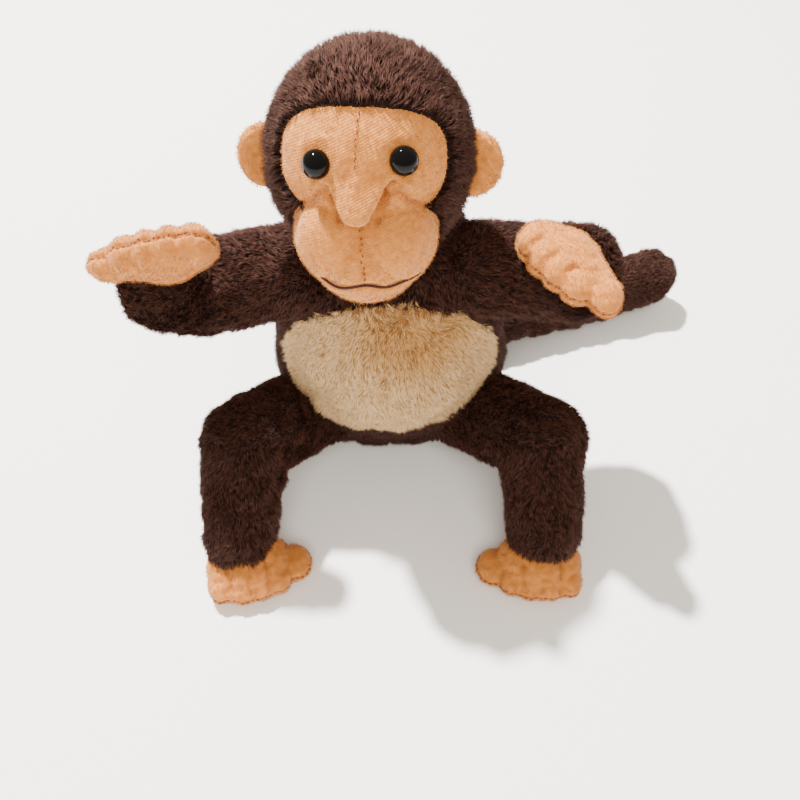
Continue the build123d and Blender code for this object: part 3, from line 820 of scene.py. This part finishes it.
def head():
    skin = melt(whole_head, voxel=0.33, rounds=4)
    smooth_tree = skin.tree()
    for x, y, z in EYES.values():
        d = np.linalg.norm(skin.v - (x, y, z), axis=1)
        skin.push(-0.9 * np.exp(-(d / 3.4) ** 2) + 0.25 * np.exp(-((d - 5.0) / 1.4) ** 2))
    groove(skin, FOREHEAD_SEAM, width=0.7, depth=0.45)
    groove(skin, MUZZLE_SEAM, width=0.8, depth=0.6)
    groove(skin, smooth_line(MOUTH, 24), width=0.8, depth=0.7)
    groove(skin, CHEEK_LEFT, width=0.8, depth=1.3)
    groove(skin, CHEEK_RIGHT, width=0.8, depth=1.3)
    groove(skin, NOSTRIL_LEFT, width=0.7, depth=2.3)
    groove(skin, NOSTRIL_RIGHT, width=0.8, depth=3.2)
    skin.push(0.16 * wobble(skin.v, 10.0, 21)[:, 0] + 0.05 * wobble(skin.v, 3.5, 22)[:, 0])
    at = skin.centres()
    x, y, z = at.T
    plate = (np.abs(x) / 16.6) ** 2.6 + (np.abs(z - 3.2) / 10.8) ** 2.6 < 1
    muzzle = np.zeros(len(at), dtype=bool)
    for centre, radii in MUZZLE_BALLS:
        muzzle |= (((at - centre) / radii) ** 2).sum(axis=1) < 1.1
    muzzle &= (y < -8.0) & (z < -3.0)
    tan = (plate & (y < -6)) | muzzle
    bridge = plate & (y < -6) & ~muzzle
    nose_box = (np.abs(x + 0.4) < 6.2) & (z < 1.4) & (z > -8.2) & (y < -20.0)
    nose = tan & nose_box & (np.abs(x + 0.5) - 2.4 < (z + 8.4) * 0.52)
    chin = muzzle & (z < -20.4) & ~nose
    sides = {"left": x < 0, "right": x >= 0}
    crown = np.abs(x) <= CROWN_HALF_WIDTH
    skin.v = to_world(skin.v)
    skin.refresh()
    tree = skin.tree()
    knit = (MATS["knit"], "head")
    plush = (MATS["backing"], "head")
    for side, half in sides.items():
        show_part(f"face_{side}_skin", skin, bridge & ~nose & half, *knit, f"face_{side}",
                  "tan_knit", PLUSH_FILL)
        show_part(f"muzzle_{side}_skin", skin, muzzle & ~nose & ~chin & half, *knit,
                  f"muzzle_{side}", "tan_knit", PLUSH_FILL)
        show_part(f"hood_{side}_skin", skin, ~tan & half & ~crown, *plush, f"hood_{side}",
                  "dark_plush", PLUSH_FILL)
    show_part("nose_skin", skin, nose, *knit, "nose_fold", "tan_knit", PLUSH_FILL)
    show_part("chin_skin", skin, chin, *knit, "chin", "tan_knit", PLUSH_FILL)
    show_part("crown_skin", skin, ~tan & crown, *plush, "crown_gusset", "dark_plush", PLUSH_FILL)
    fill = melt(noseless_head, voxel=0.8, rounds=4)
    fill.v = to_world(fill.v)
    fill.refresh()
    stuffing("head_fill", fill, "head", "head_stuffing", inset=3.8)
    for name, line in (("forehead_seam", FOREHEAD_SEAM), ("muzzle_seam", MUZZLE_SEAM)):
        stitches(name, tree, to_world(line).tolist(), MATS["thread_tan"], "head",
                 length=0.8, gap=0.5, radius=0.14)
    laid = laid_on(smooth_tree, smooth_line(MOUTH, 60), -0.12)
    path = to_world([tuple(p) for p, _ in laid])
    verts, quads = thread_mesh(path.tolist(), radius=0.27, sides=8)
    mouth = write_mesh("mouth_thread", verts, [quads], [MATS["thread_dark"]])
    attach(mouth, "head")
    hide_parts("mouth_stitch")

    up = np.array(HEAD_TURN @ Vector((0, 0.75, 0.35)))

    def hood_flow(p):
        out = p - np.array(HEAD_CENTRE)
        flow = np.tile(up, (len(p), 1))
        flow[:, 2] -= 0.9 * (np.abs(out[:, 0]) > 14)
        flow[:, 0] += 0.03 * out[:, 0]
        return flow

    grow_pile("hood_pile", skin, ~tan, hood_flow, MATS["pile"], "head", "dark_plush", 41, **HOOD_PILE)
    grow_pile("face_fuzz", skin, tan, still(78), MATS["fuzz"], "head", "tan_knit", 43, **KNIT_NAP)


def ears():
    for side, sign in (("left", -1), ("right", 1)):
        x, y, z = EAR_CENTRE
        centre = (sign * x, y, z)
        lean = (Matrix.Rotation(math.radians(sign * -14), 3, "Z")
                @ Matrix.Rotation(math.radians(sign * 10), 3, "Y"))
        skin = melt(lambda bm: ball_piece(bm, centre, (6.4, 2.7, 7.2), lean), voxel=0.35, rounds=3)
        dish = np.linalg.norm((skin.v - (sign * 22.8, -3.2, -1.0)) / (4.2, 3.0, 4.8), axis=1)
        skin.push(-1.1 * np.exp(-dish ** 2) + 0.12 * wobble(skin.v, 4.0, 52)[:, 0])
        front = ((skin.centres() - centre) @ np.array(lean))[:, 1] < 0
        skin.v = to_world(skin.v)
        skin.refresh()
        for word, mask in (("front", front), ("back", ~front)):
            show_part(f"ear_{word}_{side}_skin", skin, mask, MATS["velour"], "head",
                      f"ear_{word}_{side}", "tan_velour", EAR_FILL)
        grow_pile(f"ear_fuzz_{side}", skin, skin.whole(), still(79), MATS["fuzz"], "head",
                  "tan_velour", 55, **EAR_NAP)


def eyes():
    for side, at in EYES.items():
        out = Vector(at).normalized()
        turn = out.to_track_quat("Z", "Y").to_matrix().to_4x4()

        def at_depth(depth):
            return head_place() @ Matrix.Translation(Vector(at) - out * depth) @ turn

        bm = bmesh.new()
        dome = at_depth(0.6) @ Matrix.Diagonal((EYE_RADIUS, EYE_RADIUS, EYE_RADIUS * 0.92, 1))
        bmesh.ops.create_uvsphere(bm, u_segments=48, v_segments=32, radius=1.0, matrix=dome)
        bmesh.ops.create_cone(bm, cap_ends=True, segments=24, radius1=1.0, radius2=1.0, depth=7.0,
                              matrix=at_depth(5.0))
        small_part(f"eye_{side}_dome", bm, MATS["eye"], f"eye_{side}")
        bm = bmesh.new()
        bmesh.ops.create_cone(bm, cap_ends=True, segments=40, radius1=3.6, radius2=3.6, depth=0.9,
                              matrix=at_depth(5.2))
        small_part(f"washer_{side}_disc", bm, MATS["washer"], f"eye_washer_{side}")


def small_part(name, bm, mat, node):
    """A hard piece on the head, from a bmesh in millimetres."""
    me = bpy.data.meshes.new(name)
    bm.transform(Matrix.Scale(MM, 4))
    bm.to_mesh(me)
    bm.free()
    me.materials.append(mat)
    me.polygons.foreach_set("use_smooth", np.ones(len(me.polygons), dtype=bool))
    obj = bpy.data.objects.new(name, me)
    bpy.context.scene.collection.objects.link(obj)
    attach(obj, "head")
    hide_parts(node)


def dress_cad(node, mat):
    """Give a CAD node that stays in view a better material."""
    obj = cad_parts[node]
    obj.data.materials.clear()
    obj.data.materials.append(mat)


# ---------------------------------------------------------------- stage

FLOOR_REACH = 3.0
FLOOR_HEIGHT = -0.0001
LIGHTS_AIM_AT = (0, 0, 0.05)
CAMERA_PLACE = (0.0027, -0.164, 0.204)
CAMERA_TILT = math.radians(40)
CAMERA_LENS = 38.25


def stage():
    """The floor, two lights, the sky and the camera, in metres."""
    me = bpy.data.meshes.new("floor")
    corners = [(-1, -1), (1, -1), (1, 1), (-1, 1)]
    me.from_pydata([(x * FLOOR_REACH, y * FLOOR_REACH, FLOOR_HEIGHT) for x, y in corners],
                   [], [(0, 1, 2, 3)])
    me.materials.append(material("floor", 0.7, 0.0, (0.93, 0.925, 0.91))[0])
    floor = bpy.data.objects.new("floor", me)
    bpy.context.scene.collection.objects.link(floor)

    def area(name, place, size, power, colour):
        data = bpy.data.lights.new(name, "AREA")
        data.shape = "DISK"
        data.size = size
        data.energy = power
        data.color = colour
        obj = bpy.data.objects.new(name, data)
        obj.location = place
        aim = Vector(LIGHTS_AIM_AT) - Vector(place)
        obj.rotation_euler = aim.to_track_quat("-Z", "Y").to_euler()
        obj.visible_glossy = name == "key"
        bpy.context.scene.collection.objects.link(obj)

    area("key", (-0.38, 0.47, 1.20), 0.06, 84.0, (1.0, 0.98, 0.95))
    area("fill", (0.1, -0.8, 0.9), 0.8, 12.0, (1.0, 0.92, 0.82))
    world = bpy.data.worlds.new("world")
    world.use_nodes = True
    world.node_tree.nodes["Background"].inputs["Color"].default_value = (1.0, 0.92, 0.82, 1)
    world.node_tree.nodes["Background"].inputs["Strength"].default_value = 0.75
    bpy.context.scene.world = world

    data = bpy.data.cameras.new("camera")
    data.lens = CAMERA_LENS
    data.sensor_width = 36.0
    camera = bpy.data.objects.new("camera", data)
    camera.location = CAMERA_PLACE
    camera.rotation_euler = (CAMERA_TILT, 0, 0)
    bpy.context.scene.collection.objects.link(camera)
    bpy.context.scene.camera = camera


torso()
for number, limb in enumerate(LIMBS):
    sleeve(limb, 200 + 10 * number)
for make_end in (hand, foot):
    for end_side in ("left", "right"):
        make_end(end_side)
head()
ears()
eyes()
dress_cad("neck_thread", MATS["thread_dark"])
stage()
